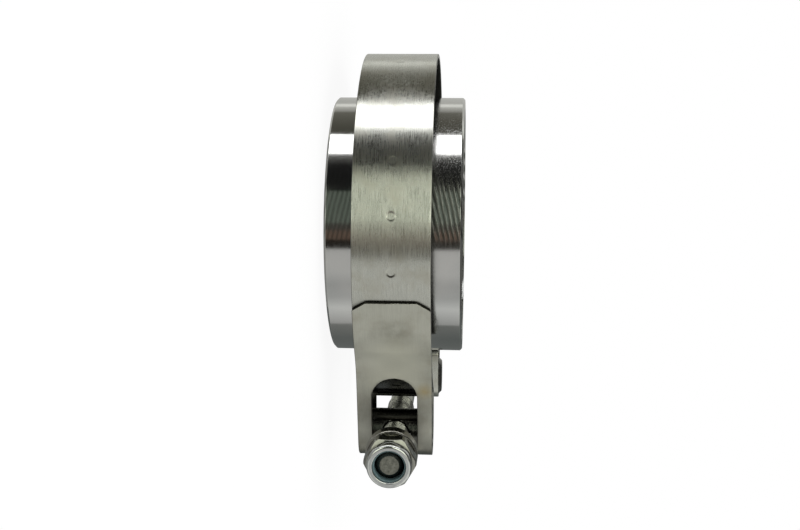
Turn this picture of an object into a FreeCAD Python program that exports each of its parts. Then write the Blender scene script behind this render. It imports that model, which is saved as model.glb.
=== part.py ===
import FreeCAD, Part
import math
import os

import Sketcher

# V-band clamp closed on its pair of weld flanges.
# The ring's axis is +Z, and the assembly stands on the lower flange's weld face at Z = 0.
# The clamp's gap faces +X. The T-bolt crosses the gap and its nut points along -Y.

SIZES = (
    # Weld flanges
    ("pipe_diameter", "76.2", "outside of each flange's spigot, the size of the pipe"),
    ("pipe_wall", "3.0", "wall of the spigots round the gas passage"),
    ("lower_protrusion", "8.9", "lower spigot below the band"),
    ("upper_protrusion", "8.0", "upper spigot above the band"),
    ("weld_chamfer", "0.6", "chamfer round each weld face"),
    ("lip_rim_gap", "1.65", "space between a lip's rim and the retainer's crown"),
    ("lip_rim_thickness", "2.2", "thickness of one lip at its rim"),
    ("lip_root_fillet", "0.8", "fillet where a lip's cone meets its spigot"),
    ("wedge_angle", "20", "half the V's angle"),
    ("pilot_step", "2.9", "raised ring of the lower flange, beyond the pipe's radius"),
    ("pilot_height", "1.4", "height of that ring"),
    ("pilot_clearance", "0.1", "radial play of the ring in the upper flange's recess"),
    ("pilot_floor_gap", "0.1", "axial play of the ring in that recess"),
    # Band
    ("band_inner_diameter", "100.0", "inside of the band's ring"),
    ("band_width", "21.1", "width of the strap"),
    ("strap_thickness", "1.0", "strap sheet"),
    ("tail_angle", "75.3", "where each folded tail ends, from the gap's centre"),
    ("tail_corner_long", "3.7", "cut corner of the tail, across the strap"),
    ("tail_corner_short", "2.3", "cut corner of the tail, along the strap"),
    ("tail_bend_radius", "8.0", "outside bend where the tail lifts off the ring"),
    ("leaf_lean", "12.5", "slope of the loop's outer leaf"),
    ("gap_bend_radius", "1.5", "inside bend at the foot of the inner leaf"),
    ("loop_standoff", "5.0", "loop axis beyond the ring's outside, along X"),
    ("loop_spread", "27.4", "loop axis from the gap's centre, along Y"),
    ("loop_clearance", "0.1", "radial play of a cross pin in its loop"),
    ("window_width", "12.8", "slot through the loops for the bolt"),
    ("window_run", "20.8", "slot in the outer leaf, from the loop to its arched end"),
    ("window_foot", "8.0", "slot in the inner leaf, from the loop's axis to its end"),
    ("window_under", "0.5", "depth of the arched cut under the outer leaf"),
    # V retainers
    ("retainer_thickness", "1.8", "pressed sheet of the V retainers"),
    ("retainer_tip_gap", "2.4", "space between a retainer's legs and the spigots"),
    ("retainer_bend_radius", "1.4", "outside bend of the V's crown"),
    ("retainer_first_angle", "28", "where the first retainer starts, from the gap's centre"),
    ("retainer_joint_angle", "6", "space between neighbouring retainers"),
    ("seat_clearance", "0.05", "play between retainer, band and lips"),
    # Latch
    ("pin_diameter", "12.2", "trunnion and T-bar"),
    ("trunnion_inset", "0.2", "trunnion's end inside each edge of the band"),
    ("t_bar_overhang", "1.0", "T-bar past each edge of the band"),
    ("pin_edge", "0.5", "chamfer at the trunnion's ends"),
    ("t_bar_crown", "1.0", "chamfered crown at the T-bar's ends"),
    ("trunnion_slot_gap", "0.3", "play of the bolt in the trunnion's slot"),
    ("thread_diameter", "8.0", "bolt thread"),
    ("shank_diameter", "7.1", "plain rolled shank between the T-bar and the thread"),
    ("thread_start", "34.0", "start of the thread, from the T-bar's axis"),
    ("thread_runout", "1.2", "cone between the shank and the thread"),
    ("bolt_end_recess", "1.4", "bolt end inside the nut's outer face"),
    ("bolt_end_chamfer", "1.15", "chamfer of the bolt end"),
    ("collar_standoff", "11.0", "free space between the loop and the collar"),
    ("collar_diameter", "14.4", "round collar behind the nut"),
    ("collar_thickness", "4.1", "length of the collar"),
    ("collar_edge", "0.4", "chamfer round the collar"),
    ("collar_play", "0.1", "radial play of the collar on the thread"),
    ("nut_face_gap", "0.1", "axial play between collar and nut"),
    ("nut_flats", "13.0", "nut across its flats"),
    ("nut_hex_height", "6.4", "hexagonal part of the nut"),
    ("nut_height", "8.0", "whole nut with its rolled collar"),
    ("nut_chamfer_inset", "0.3", "chamfer circle inside the nut's flats"),
    ("nut_chamfer_angle", "30", "slope of the nut's corner chamfers"),
    ("nut_collar_diameter", "11.8", "outside of the rolled collar"),
    ("nut_lip_diameter", "9.4", "mouth of the rolled collar"),
    ("nut_lip_thickness", "0.6", "rolled edge over the insert"),
    ("nut_collar_roll", "0.7", "rounding of the rolled collar, as a chamfer"),
    ("nut_entry_chamfer", "0.6", "countersink at the nut's bearing face"),
    ("thread_play", "0.05", "radial play of nut and insert on the bolt"),
    ("insert_diameter", "10.3", "nylon insert"),
    ("insert_thickness", "2.2", "nylon insert along the bolt"),
    ("insert_play", "0.02", "play of the insert in its recess"),
)

doc = FreeCAD.newDocument("VBandClamp")
sheet = doc.addObject("Spreadsheet::Sheet", "Sizes")
for row, (alias, value, meaning) in enumerate(SIZES, start=1):
    sheet.set(f"A{row}", value)
    sheet.setAlias(f"A{row}", alias)
    sheet.set(f"B{row}", meaning)
doc.recompute()


def number(formula):
    """Present value of a formula written with the sheet's names."""
    value = sheet.evalExpression(formula)
    return float(getattr(value, "Value", value))


# Shared places, as formulas of the sheet's sizes.
BAND_MIDDLE = "(Sizes.lower_protrusion + Sizes.band_width / 2)"
TOTAL_HEIGHT = "(Sizes.lower_protrusion + Sizes.band_width + Sizes.upper_protrusion)"
BAND_INSIDE = "(Sizes.band_inner_diameter / 2)"
BAND_OUTSIDE = "(Sizes.band_inner_diameter / 2 + Sizes.strap_thickness)"
TAIL_OUTSIDE = "(Sizes.band_inner_diameter / 2 + 2 * Sizes.strap_thickness)"
PIN_RADIUS = "(Sizes.pin_diameter / 2)"
LOOP_INSIDE = "(Sizes.pin_diameter / 2 + Sizes.loop_clearance)"
LOOP_OUTSIDE = "(Sizes.pin_diameter / 2 + Sizes.loop_clearance + Sizes.strap_thickness)"
LOOP_REACH = f"({BAND_OUTSIDE} + Sizes.loop_standoff)"
COLLAR_START = f"(2 * Sizes.loop_spread + {LOOP_OUTSIDE} + Sizes.collar_standoff)"
NUT_START = f"({COLLAR_START} + Sizes.collar_thickness + Sizes.nut_face_gap)"
NUT_END = f"({NUT_START} + Sizes.nut_height)"


def new_body(label):
    """An empty body whose label names its part."""
    body = doc.addObject("PartDesign::Body", label)
    body.Label = label
    return body


def origin_item(body, role):
    """The body's own origin plane or axis with this role."""
    return next(item for item in body.Origin.OriginFeatures if item.Role == role)


def new_sketch(body, name, plane, offset=None):
    """A sketch on one of the body's origin planes, moved along the plane's normal by a formula."""
    sketch = body.newObject("Sketcher::SketchObject", name)
    sketch.AttachmentSupport = (origin_item(body, plane), [""])
    sketch.MapMode = "FlatFace"
    if offset:
        sketch.setExpression("AttachmentOffset.Base.z", offset)
    return sketch


def constrain(sketch, kind, *where, formula=None):
    """Add a constraint, bound to a formula if it has a size."""
    if formula is None:
        return sketch.addConstraint(Sketcher.Constraint(kind, *where))
    value = number(formula)
    if kind == "Angle":
        value = math.radians(value)
    index = sketch.addConstraint(Sketcher.Constraint(kind, *where, value))
    sketch.setExpression(f"Constraints[{index}]", formula)
    return index


def pin_point(sketch, curve, end, x, y):
    """Hold one point of a curve at formulas measured from the sketch's origin."""
    constrain(sketch, "DistanceX", -1, 1, curve, end, formula=x)
    constrain(sketch, "DistanceY", -1, 1, curve, end, formula=y)


def add_polygon(sketch, points):
    """A closed outline of straight lines through points given as pairs of formulas."""
    places = [FreeCAD.Vector(number(x), number(y), 0) for x, y in points]
    count = len(places)
    for index, place in enumerate(places):
        sketch.addGeometry(Part.LineSegment(place, places[(index + 1) % count]), False)
    for index in range(count):
        constrain(sketch, "Coincident", index, 2, (index + 1) % count, 1)
    for index, (x, y) in enumerate(points):
        pin_point(sketch, index, 1, x, y)


def add_arch(sketch, centre_x, centre_y, width, end_x):
    """A slot outline with a half-round end on its -x side and a square end at end_x."""
    x, y, half, far = (number(f) for f in (centre_x, centre_y, f"({width}) / 2", end_x))
    point = FreeCAD.Vector
    circle = Part.Circle(point(x, y, 0), point(0, 0, 1), half)
    sketch.addGeometry(Part.ArcOfCircle(circle, math.pi / 2, 3 * math.pi / 2), False)
    sketch.addGeometry(Part.LineSegment(point(x, y - half, 0), point(far, y - half, 0)), False)
    sketch.addGeometry(Part.LineSegment(point(far, y - half, 0), point(far, y + half, 0)), False)
    sketch.addGeometry(Part.LineSegment(point(far, y + half, 0), point(x, y + half, 0)), False)
    constrain(sketch, "Tangent", 0, 2, 1, 1)
    constrain(sketch, "Coincident", 1, 2, 2, 1)
    constrain(sketch, "Coincident", 2, 2, 3, 1)
    constrain(sketch, "Tangent", 3, 2, 0, 1)
    constrain(sketch, "Horizontal", 1)
    constrain(sketch, "Horizontal", 3)
    constrain(sketch, "Vertical", 2)
    pin_point(sketch, 0, 3, centre_x, centre_y)
    constrain(sketch, "Radius", 0, formula=f"({width}) / 2")
    constrain(sketch, "DistanceX", -1, 1, 2, 1, formula=end_x)


def extrude(body, kind, name, sketch, length=None, side="One side"):
    """Pad or pocket a sketch, through everything if no length is given."""
    feature = body.newObject(f"PartDesign::{kind}", name)
    feature.Profile = sketch
    feature.SideType = side
    if length:
        feature.setExpression("Length", length)
    else:
        feature.Type = "ThroughAll"
    return feature


def turn(body, kind, name, sketch, axis="Z_Axis", angle=None):
    """Revolve or groove a sketch round one of the body's origin axes."""
    feature = body.newObject(f"PartDesign::{kind}", name)
    feature.Profile = sketch
    feature.ReferenceAxis = (origin_item(body, axis), [""])
    if angle:
        feature.setExpression("Angle", angle)
    return feature


def edges_where(feature, test):
    """Names of the feature's edges whose middle point, length and curve pass a test."""
    names = []
    for index, edge in enumerate(feature.Shape.Edges, start=1):
        middle = edge.valueAt((edge.FirstParameter + edge.LastParameter) / 2)
        if test(edge, middle):
            names.append(f"Edge{index}")
    return names


def dress(body, kind, name, base, test):
    """A fillet or chamfer on the edges of its base feature that pass a test."""
    doc.recompute()
    feature = body.newObject(f"PartDesign::{kind}", name)
    feature.Base = (base, edges_where(base, test))
    return feature


def radius_of(point):
    """Distance of a point from the ring's axis."""
    return math.hypot(point.x, point.y)


def place_on_bolt_line(body):
    """Put a body's origin on the T-bar's axis, with its own +Z along the bolt."""
    body.Placement = FreeCAD.Placement(
        FreeCAD.Vector(0, 0, 0), FreeCAD.Rotation(FreeCAD.Vector(1, 0, 0), 90)
    )
    body.setExpression(".Placement.Base.x", LOOP_REACH)
    body.setExpression(".Placement.Base.y", "Sizes.loop_spread")
    body.setExpression(".Placement.Base.z", BAND_MIDDLE)


# Weld flanges ---------------------------------------------------------------------------

CROWN_OUTSIDE = f"({BAND_INSIDE} - Sizes.seat_clearance)"
CROWN_INSIDE = f"({CROWN_OUTSIDE} - Sizes.retainer_thickness)"
LIP_RADIUS = f"({CROWN_INSIDE} - Sizes.lip_rim_gap)"
PIPE_RADIUS = "(Sizes.pipe_diameter / 2)"
BORE_RADIUS = "(Sizes.pipe_diameter / 2 - Sizes.pipe_wall)"
PILOT_RADIUS = "(Sizes.pipe_diameter / 2 + Sizes.pilot_step)"


def cone_offset(radius):
    """Half thickness of the pair of lips where their cones reach this radius."""
    slope = f"({LIP_RADIUS} - ({radius})) * tan(Sizes.wedge_angle)"
    return f"(Sizes.lip_rim_thickness + {slope})"


def fillet_lip_root(body, base, height):
    """Round the inner corner between a lip's cone and its spigot."""
    spigot = number(PIPE_RADIUS)
    level = number(height)
    fillet = dress(
        body, "Fillet", "LipRoot", base,
        lambda edge, middle: abs(radius_of(middle) - spigot) < 1e-3
        and abs(middle.z - level) < 1e-3,
    )
    fillet.setExpression("Radius", "Sizes.lip_root_fillet")


def make_lower_flange():
    """Male flange: spigot, V lip and a raised pilot ring on the parting face."""
    body = new_body("lower_flange")
    sketch = new_sketch(body, "LowerSection", "XZ_Plane")
    root = f"({BAND_MIDDLE} - {cone_offset(PIPE_RADIUS)})"
    pilot_top = f"({BAND_MIDDLE} + Sizes.pilot_height)"
    add_polygon(sketch, (
        (BORE_RADIUS, "0"),
        (f"{PIPE_RADIUS} - Sizes.weld_chamfer", "0"),
        (PIPE_RADIUS, "Sizes.weld_chamfer"),
        (PIPE_RADIUS, root),
        (LIP_RADIUS, f"{BAND_MIDDLE} - Sizes.lip_rim_thickness"),
        (LIP_RADIUS, BAND_MIDDLE),
        (PILOT_RADIUS, BAND_MIDDLE),
        (PILOT_RADIUS, pilot_top),
        (BORE_RADIUS, pilot_top),
    ))
    turned = turn(body, "Revolution", "LowerTurned", sketch)
    fillet_lip_root(body, turned, root)


def make_upper_flange():
    """Female flange: spigot, V lip and a recess that takes the pilot ring."""
    body = new_body("upper_flange")
    sketch = new_sketch(body, "UpperSection", "XZ_Plane")
    root = f"({BAND_MIDDLE} + {cone_offset(PIPE_RADIUS)})"
    recess_radius = f"({PILOT_RADIUS} + Sizes.pilot_clearance)"
    recess_floor = f"({BAND_MIDDLE} + Sizes.pilot_height + Sizes.pilot_floor_gap)"
    add_polygon(sketch, (
        (BORE_RADIUS, TOTAL_HEIGHT),
        (f"{PIPE_RADIUS} - Sizes.weld_chamfer", TOTAL_HEIGHT),
        (PIPE_RADIUS, f"{TOTAL_HEIGHT} - Sizes.weld_chamfer"),
        (PIPE_RADIUS, root),
        (LIP_RADIUS, f"{BAND_MIDDLE} + Sizes.lip_rim_thickness"),
        (LIP_RADIUS, BAND_MIDDLE),
        (recess_radius, BAND_MIDDLE),
        (recess_radius, recess_floor),
        (BORE_RADIUS, recess_floor),
    ))
    turned = turn(body, "Revolution", "UpperTurned", sketch)
    fillet_lip_root(body, turned, root)


# V retainers ----------------------------------------------------------------------------

def make_retainer(number_in_ring):
    """One pressed V segment, welded inside the band, that wedges the two lips together."""
    body = new_body(f"v_retainer_{number_in_ring + 1}")
    sketch = new_sketch(body, "VSection", "XZ_Plane")
    play = "Sizes.seat_clearance / cos(Sizes.wedge_angle)"
    sheet_rise = "Sizes.retainer_thickness / cos(Sizes.wedge_angle)"
    tip = f"({PIPE_RADIUS} + Sizes.retainer_tip_gap)"

    def inner(radius):
        return f"({cone_offset(radius)} + {play})"

    def outer(radius):
        return f"({cone_offset(radius)} + {play} + {sheet_rise})"

    add_polygon(sketch, (
        (CROWN_OUTSIDE, f"{BAND_MIDDLE} + {outer(CROWN_OUTSIDE)}"),
        (tip, f"{BAND_MIDDLE} + {outer(tip)}"),
        (tip, f"{BAND_MIDDLE} + {inner(tip)}"),
        (CROWN_INSIDE, f"{BAND_MIDDLE} + {inner(CROWN_INSIDE)}"),
        (CROWN_INSIDE, f"{BAND_MIDDLE} - {inner(CROWN_INSIDE)}"),
        (tip, f"{BAND_MIDDLE} - {inner(tip)}"),
        (tip, f"{BAND_MIDDLE} - {outer(tip)}"),
        (CROWN_OUTSIDE, f"{BAND_MIDDLE} - {outer(CROWN_OUTSIDE)}"),
    ))
    span = "((360 - 2 * Sizes.retainer_first_angle - 2 * Sizes.retainer_joint_angle) / 3)"
    pressed = turn(body, "Revolution", "Pressed", sketch, angle=span)
    crown = number(CROWN_OUTSIDE)
    fillet = dress(
        body, "Fillet", "CrownBends", pressed,
        lambda edge, middle: abs(radius_of(middle) - crown) < 1e-3 and edge.Length > crown,
    )
    fillet.setExpression("Radius", "Sizes.retainer_bend_radius")
    body.Placement = FreeCAD.Placement(
        FreeCAD.Vector(0, 0, 0), FreeCAD.Rotation(FreeCAD.Vector(0, 0, 1), 1)
    )
    step = f"({span} + Sizes.retainer_joint_angle)"
    body.setExpression(
        ".Placement.Rotation.Angle",
        f"Sizes.retainer_first_angle + {number_in_ring} * {step}",
    )


# Band -----------------------------------------------------------------------------------

def arc(centre, radius, start, end):
    """A counter-clockwise arc between two angles in degrees."""
    circle = Part.Circle(centre, FreeCAD.Vector(0, 0, 1), radius)
    return Part.ArcOfCircle(circle, math.radians(start), math.radians(end))


def polar(centre, radius, angle):
    """The point at a radius and an angle in degrees from a centre."""
    way = math.radians(angle)
    return centre + FreeCAD.Vector(radius * math.cos(way), radius * math.sin(way), 0)


def draw_strap(sketch):
    """Half of the folded strap, seen along the ring's axis.

    The ring turns outward at the gap, runs up the inner leaf, wraps the loop, comes back
    down the outer leaf and ends as a tail over the ring. Curves 0 to 9 are the outline,
    and curves 10 to 14 bound the hollow between the leaves.
    """
    middle = FreeCAD.Vector(0, 0, 0)
    inside, outside, tail_out = (number(f) for f in (BAND_INSIDE, BAND_OUTSIDE, TAIL_OUTSIDE))
    loop_in, loop_out = number(LOOP_INSIDE), number(LOOP_OUTSIDE)
    loop = FreeCAD.Vector(number(LOOP_REACH), number("Sizes.loop_spread"), 0)
    sheet_thickness = number("Sizes.strap_thickness")
    tail_end, lean = number("Sizes.tail_angle"), number("Sizes.leaf_lean")
    tail_bend, gap_bend = number("Sizes.tail_bend_radius"), number("Sizes.gap_bend_radius")

    # The outer leaf's line, by its normal and its distance from the ring's axis.
    facing = 90 - lean
    normal = polar(middle, 1, facing)
    along = polar(middle, 1, -lean)
    leaf_distance = normal.dot(loop) + loop_out
    bend_distance = leaf_distance + tail_bend
    bend_run = math.sqrt((tail_out + tail_bend) ** 2 - bend_distance**2)
    tail_centre = normal * bend_distance + along * bend_run
    lift_angle = math.degrees(math.atan2(tail_centre.y, tail_centre.x))

    # The inner leaf's bend at the gap.
    gap_y = loop.y - loop_out + gap_bend + sheet_thickness
    gap_centre = FreeCAD.Vector(math.sqrt((outside + gap_bend) ** 2 - gap_y**2), gap_y, 0)
    gap_angle = math.degrees(math.atan2(gap_centre.y, gap_centre.x))
    hollow_angle = facing - math.degrees(math.acos((leaf_distance - sheet_thickness) / outside))

    inner_leaf_out = FreeCAD.Vector(gap_centre.x, loop.y - loop_out, 0)
    inner_leaf_in = FreeCAD.Vector(gap_centre.x, loop.y - loop_in, 0)
    line = Part.LineSegment
    for curve in (
        arc(middle, outside, tail_end, 180),
        line(polar(middle, outside, tail_end), polar(middle, tail_out, tail_end)),
        arc(middle, tail_out, lift_angle, tail_end),
        arc(tail_centre, tail_bend, lift_angle + 180, facing + 180),
        line(polar(tail_centre, tail_bend, facing + 180), polar(loop, loop_out, facing)),
        arc(loop, loop_out, -90, facing),
        line(polar(loop, loop_out, -90), inner_leaf_out),
        arc(gap_centre, gap_bend + sheet_thickness, gap_angle + 180, 270),
        arc(middle, inside, gap_angle, 180),
        line(FreeCAD.Vector(-inside, 0, 0), FreeCAD.Vector(-outside, 0, 0)),
        arc(middle, outside, gap_angle, hollow_angle),
        line(polar(middle, outside, hollow_angle), polar(loop, loop_in, facing)),
        arc(loop, loop_in, -90, facing),
        line(polar(loop, loop_in, -90), inner_leaf_in),
        arc(gap_centre, gap_bend, gap_angle + 180, 270),
    ):
        sketch.addGeometry(curve, False)

    for ring_arc in (0, 2, 8, 10):
        constrain(sketch, "Coincident", ring_arc, 3, -1, 1)
    for joined in ((0, 1, 1, 1), (1, 2, 2, 2), (8, 2, 9, 1), (9, 2, 0, 2), (11, 1, 10, 2)):
        constrain(sketch, "Coincident", *joined)
    for smooth in (
        (2, 1, 3, 1), (3, 2, 4, 1), (4, 2, 5, 2), (5, 1, 6, 1), (6, 2, 7, 2), (7, 1, 8, 1),
        (12, 1, 13, 1), (13, 2, 14, 2), (14, 1, 10, 1), (11, 2, 12, 2),
    ):
        constrain(sketch, "Tangent", *smooth)
    constrain(sketch, "PointOnObject", -1, 1, 1)
    constrain(sketch, "PointOnObject", 9, 1, -1)
    for level in (6, 9, 13):
        constrain(sketch, "Horizontal", level)
    constrain(sketch, "Parallel", 4, 11)
    constrain(sketch, "Coincident", 12, 3, 5, 3)
    constrain(sketch, "Coincident", 14, 3, 7, 3)
    pin_point(sketch, 5, 3, LOOP_REACH, "Sizes.loop_spread")
    constrain(sketch, "Angle", 1, formula="Sizes.tail_angle")
    constrain(sketch, "Angle", 4, formula="-Sizes.leaf_lean")
    for curve, size in (
        (0, BAND_OUTSIDE), (2, TAIL_OUTSIDE), (3, "Sizes.tail_bend_radius"),
        (5, LOOP_OUTSIDE), (7, "Sizes.gap_bend_radius + Sizes.strap_thickness"),
        (8, BAND_INSIDE), (12, LOOP_INSIDE),
    ):
        constrain(sketch, "Radius", curve, formula=size)


def make_band():
    """The strap: ring, loops and tails folded from one strip, with a bolt slot in each loop."""
    body = new_body("band")
    strap_sketch = new_sketch(body, "StrapSection", "XY_Plane", BAND_MIDDLE)
    draw_strap(strap_sketch)
    strap = extrude(body, "Pad", "Strap", strap_sketch, "Sizes.band_width", "Symmetric")

    # The tail's two corners are cut at an angle. Their edges span the tail's thickness only.
    tail_end = number("Sizes.tail_angle")
    tail_thickness = number("Sizes.strap_thickness")
    corners = dress(
        body, "Chamfer", "TailCorners", strap,
        lambda edge, middle: abs(edge.Length - tail_thickness) < 1e-3
        and abs(math.degrees(math.atan2(middle.y, middle.x)) - tail_end) < 1e-3
        and abs(edge.valueAt(edge.FirstParameter).z - edge.valueAt(edge.LastParameter).z) < 1e-6,
    )
    corners.ChamferType = "Two distances"
    corners.setExpression("Size", "Sizes.tail_corner_long")
    corners.setExpression("Size2", "Sizes.tail_corner_short")

    # The slot's arched end is cut square to the outer leaf, from a plane just under the leaf.
    normal_x, normal_y = "sin(Sizes.leaf_lean)", "cos(Sizes.leaf_lean)"
    depth = (
        f"({normal_x} * {LOOP_REACH} + {normal_y} * Sizes.loop_spread"
        f" + {LOOP_INSIDE} - Sizes.window_under)"
    )
    loop_along = f"({normal_y} * {LOOP_REACH} - {normal_x} * Sizes.loop_spread)"
    arch_sketch = new_sketch(body, "ArchOutline", "XZ_Plane")
    arch_sketch.AttachmentOffset = FreeCAD.Placement(
        FreeCAD.Vector(0, 0, 0), FreeCAD.Rotation(FreeCAD.Vector(0, -1, 0), 1)
    )
    arch_sketch.setExpression("AttachmentOffset.Rotation.Angle", "Sizes.leaf_lean")
    arch_sketch.setExpression("AttachmentOffset.Base.x", f"{depth} * {normal_x}")
    arch_sketch.setExpression("AttachmentOffset.Base.z", f"-{depth} * {normal_y}")
    add_arch(
        arch_sketch, f"{loop_along} - Sizes.window_run + Sizes.window_width / 2", BAND_MIDDLE,
        "Sizes.window_width", f"{loop_along} + {LOOP_OUTSIDE} + Sizes.strap_thickness",
    )
    extrude(body, "Pocket", "Arch", arch_sketch)

    # The rest of the slot runs round the loop and down the inner leaf.
    slot_sketch = new_sketch(body, "SlotOutline", "XZ_Plane")
    foot = f"{LOOP_REACH} - Sizes.window_foot"
    beyond = f"{LOOP_REACH} + {LOOP_OUTSIDE} + Sizes.strap_thickness"
    low = f"{BAND_MIDDLE} - Sizes.window_width / 2"
    high = f"{BAND_MIDDLE} + Sizes.window_width / 2"
    add_polygon(slot_sketch, (
        (foot, low), (beyond, low), (beyond, high), (foot, high),
    ))
    extrude(body, "Pocket", "Slot", slot_sketch)

    doc.recompute()
    other_half = body.newObject("PartDesign::Mirrored", "OtherHalf")
    other_half.TransformMode = "Whole shape"
    other_half.MirrorPlane = (origin_item(body, "XZ_Plane"), [""])
    body.Tip = other_half


# Latch ----------------------------------------------------------------------------------

def make_trunnion():
    """Cross pin of the nut-side loop, slotted outward so that the bolt can swing clear."""
    body = new_body("trunnion")
    section = new_sketch(body, "TrunnionSection", "XZ_Plane")
    half = "(Sizes.band_width / 2 - Sizes.trunnion_inset)"
    chamfered = f"{PIN_RADIUS} - Sizes.pin_edge"
    add_polygon(section, (
        ("0", f"-{half}"),
        (chamfered, f"-{half}"),
        (PIN_RADIUS, f"-{half} + Sizes.pin_edge"),
        (PIN_RADIUS, f"{half} - Sizes.pin_edge"),
        (chamfered, half),
        ("0", half),
    ))
    turn(body, "Revolution", "Pin", section)
    slot = new_sketch(body, "SlotOutline", "XZ_Plane")
    width = "Sizes.thread_diameter + 2 * Sizes.trunnion_slot_gap"
    add_arch(slot, "0", "0", width, f"{PIN_RADIUS} + Sizes.pin_edge")
    extrude(body, "Pocket", "BoltSlot", slot, side="Symmetric")
    body.setExpression(".Placement.Base.x", LOOP_REACH)
    body.setExpression(".Placement.Base.y", "-Sizes.loop_spread")
    body.setExpression(".Placement.Base.z", BAND_MIDDLE)


def make_t_bolt():
    """T-bolt: a cross bar that turns in the far loop, with a rolled shank and thread."""
    body = new_body("t_bolt")
    thread, shank = "Sizes.thread_diameter / 2", "Sizes.shank_diameter / 2"
    bolt_end = f"({NUT_END} - Sizes.bolt_end_recess)"
    shank_sketch = new_sketch(body, "ShankSection", "XZ_Plane")
    add_polygon(shank_sketch, (
        ("0", "0"),
        (shank, "0"),
        (shank, "Sizes.thread_start - Sizes.thread_runout"),
        (thread, "Sizes.thread_start"),
        (thread, f"{bolt_end} - Sizes.bolt_end_chamfer"),
        (f"{thread} - Sizes.bolt_end_chamfer", bolt_end),
        ("0", bolt_end),
    ))
    turn(body, "Revolution", "Shank", shank_sketch)
    bar_sketch = new_sketch(body, "BarSection", "YZ_Plane")
    half = "(Sizes.band_width / 2 + Sizes.t_bar_overhang)"
    add_polygon(bar_sketch, (
        (f"-{half}", "0"),
        (f"{half}", "0"),
        (f"{half}", f"{PIN_RADIUS} - Sizes.t_bar_crown"),
        (f"{half} - Sizes.t_bar_crown", PIN_RADIUS),
        (f"-{half} + Sizes.t_bar_crown", PIN_RADIUS),
        (f"-{half}", f"{PIN_RADIUS} - Sizes.t_bar_crown"),
    ))
    turn(body, "Revolution", "Bar", bar_sketch, axis="Y_Axis")
    place_on_bolt_line(body)


def make_collar():
    """Round collar between the nut and the loop."""
    body = new_body("collar")
    sketch = new_sketch(body, "CollarSection", "XZ_Plane")
    bore = "(Sizes.thread_diameter / 2 + Sizes.collar_play)"
    rim = "(Sizes.collar_diameter / 2)"
    end = f"({COLLAR_START} + Sizes.collar_thickness)"
    add_polygon(sketch, (
        (bore, COLLAR_START),
        (f"{rim} - Sizes.collar_edge", COLLAR_START),
        (rim, f"{COLLAR_START} + Sizes.collar_edge"),
        (rim, f"{end} - Sizes.collar_edge"),
        (f"{rim} - Sizes.collar_edge", end),
        (bore, end),
    ))
    turn(body, "Revolution", "Turned", sketch)
    place_on_bolt_line(body)


RECESS_TOP = f"({NUT_END} - Sizes.nut_lip_thickness)"
RECESS_FLOOR = f"({RECESS_TOP} - Sizes.insert_thickness - 2 * Sizes.insert_play)"
RECESS_RADIUS = "(Sizes.insert_diameter / 2 + Sizes.insert_play)"
THREAD_BORE = "(Sizes.thread_diameter / 2 + Sizes.thread_play)"


def make_lock_nut():
    """Hexagon lock nut with a rolled collar that holds a nylon insert."""
    body = new_body("lock_nut")
    hexagon = new_sketch(body, "Hexagon", "XY_Plane", NUT_START)
    flat, side = "Sizes.nut_flats / 2", "Sizes.nut_flats * tan(30) / 2"
    corner = "Sizes.nut_flats / cos(30) / 2"
    add_polygon(hexagon, (
        ("0", corner), (f"-{flat}", side), (f"-{flat}", f"-{side}"),
        ("0", f"-{corner}"), (flat, f"-{side}"), (flat, side),
    ))
    extrude(body, "Pad", "HexPart", hexagon, "Sizes.nut_hex_height")

    # The corners are turned down on both faces.
    face, reach = f"({flat} - Sizes.nut_chamfer_inset)", f"({corner} + Sizes.nut_entry_chamfer)"
    drop = f"({reach} - {face}) * tan(Sizes.nut_chamfer_angle)"
    hex_top = f"({NUT_START} + Sizes.nut_hex_height)"
    for name, level, way in (("LowerCorners", NUT_START, "+"), ("UpperCorners", hex_top, "-")):
        corner_sketch = new_sketch(body, name, "XZ_Plane")
        add_polygon(corner_sketch, ((face, level), (reach, level), (reach, f"{level} {way} {drop}")))
        turn(body, "Groove", f"{name}Cut", corner_sketch)

    collar_sketch = new_sketch(body, "RolledCollar", "XZ_Plane")
    rolled = "(Sizes.nut_collar_diameter / 2)"
    add_polygon(collar_sketch, (
        ("0", f"{hex_top} - Sizes.nut_lip_thickness"),
        (rolled, f"{hex_top} - Sizes.nut_lip_thickness"),
        (rolled, f"{NUT_END} - Sizes.nut_collar_roll"),
        (f"{rolled} - Sizes.nut_collar_roll", NUT_END),
        ("0", NUT_END),
    ))
    turn(body, "Revolution", "Collar", collar_sketch)

    bore_sketch = new_sketch(body, "BoreSection", "XZ_Plane")
    lip = "Sizes.nut_lip_diameter / 2"
    add_polygon(bore_sketch, (
        ("0", NUT_START),
        (f"{THREAD_BORE} + Sizes.nut_entry_chamfer", NUT_START),
        (THREAD_BORE, f"{NUT_START} + Sizes.nut_entry_chamfer"),
        (THREAD_BORE, RECESS_FLOOR),
        (RECESS_RADIUS, RECESS_FLOOR),
        (RECESS_RADIUS, RECESS_TOP),
        (lip, RECESS_TOP),
        (lip, NUT_END),
        ("0", NUT_END),
    ))
    turn(body, "Groove", "Bore", bore_sketch)
    place_on_bolt_line(body)


def make_nylon_insert():
    """Locking ring held under the nut's rolled lip."""
    body = new_body("nylon_insert")
    sketch = new_sketch(body, "InsertSection", "XZ_Plane")
    bottom = f"({RECESS_FLOOR} + Sizes.insert_play)"
    top = f"({RECESS_TOP} - Sizes.insert_play)"
    rim = "Sizes.insert_diameter / 2"
    add_polygon(sketch, ((THREAD_BORE, bottom), (rim, bottom), (rim, top), (THREAD_BORE, top)))
    turn(body, "Revolution", "Ring", sketch)
    place_on_bolt_line(body)


make_lower_flange()
make_upper_flange()
for position in range(3):
    make_retainer(position)
make_band()
make_trunnion()
make_t_bolt()
make_collar()
make_lock_nut()
make_nylon_insert()
doc.recompute()

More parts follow.
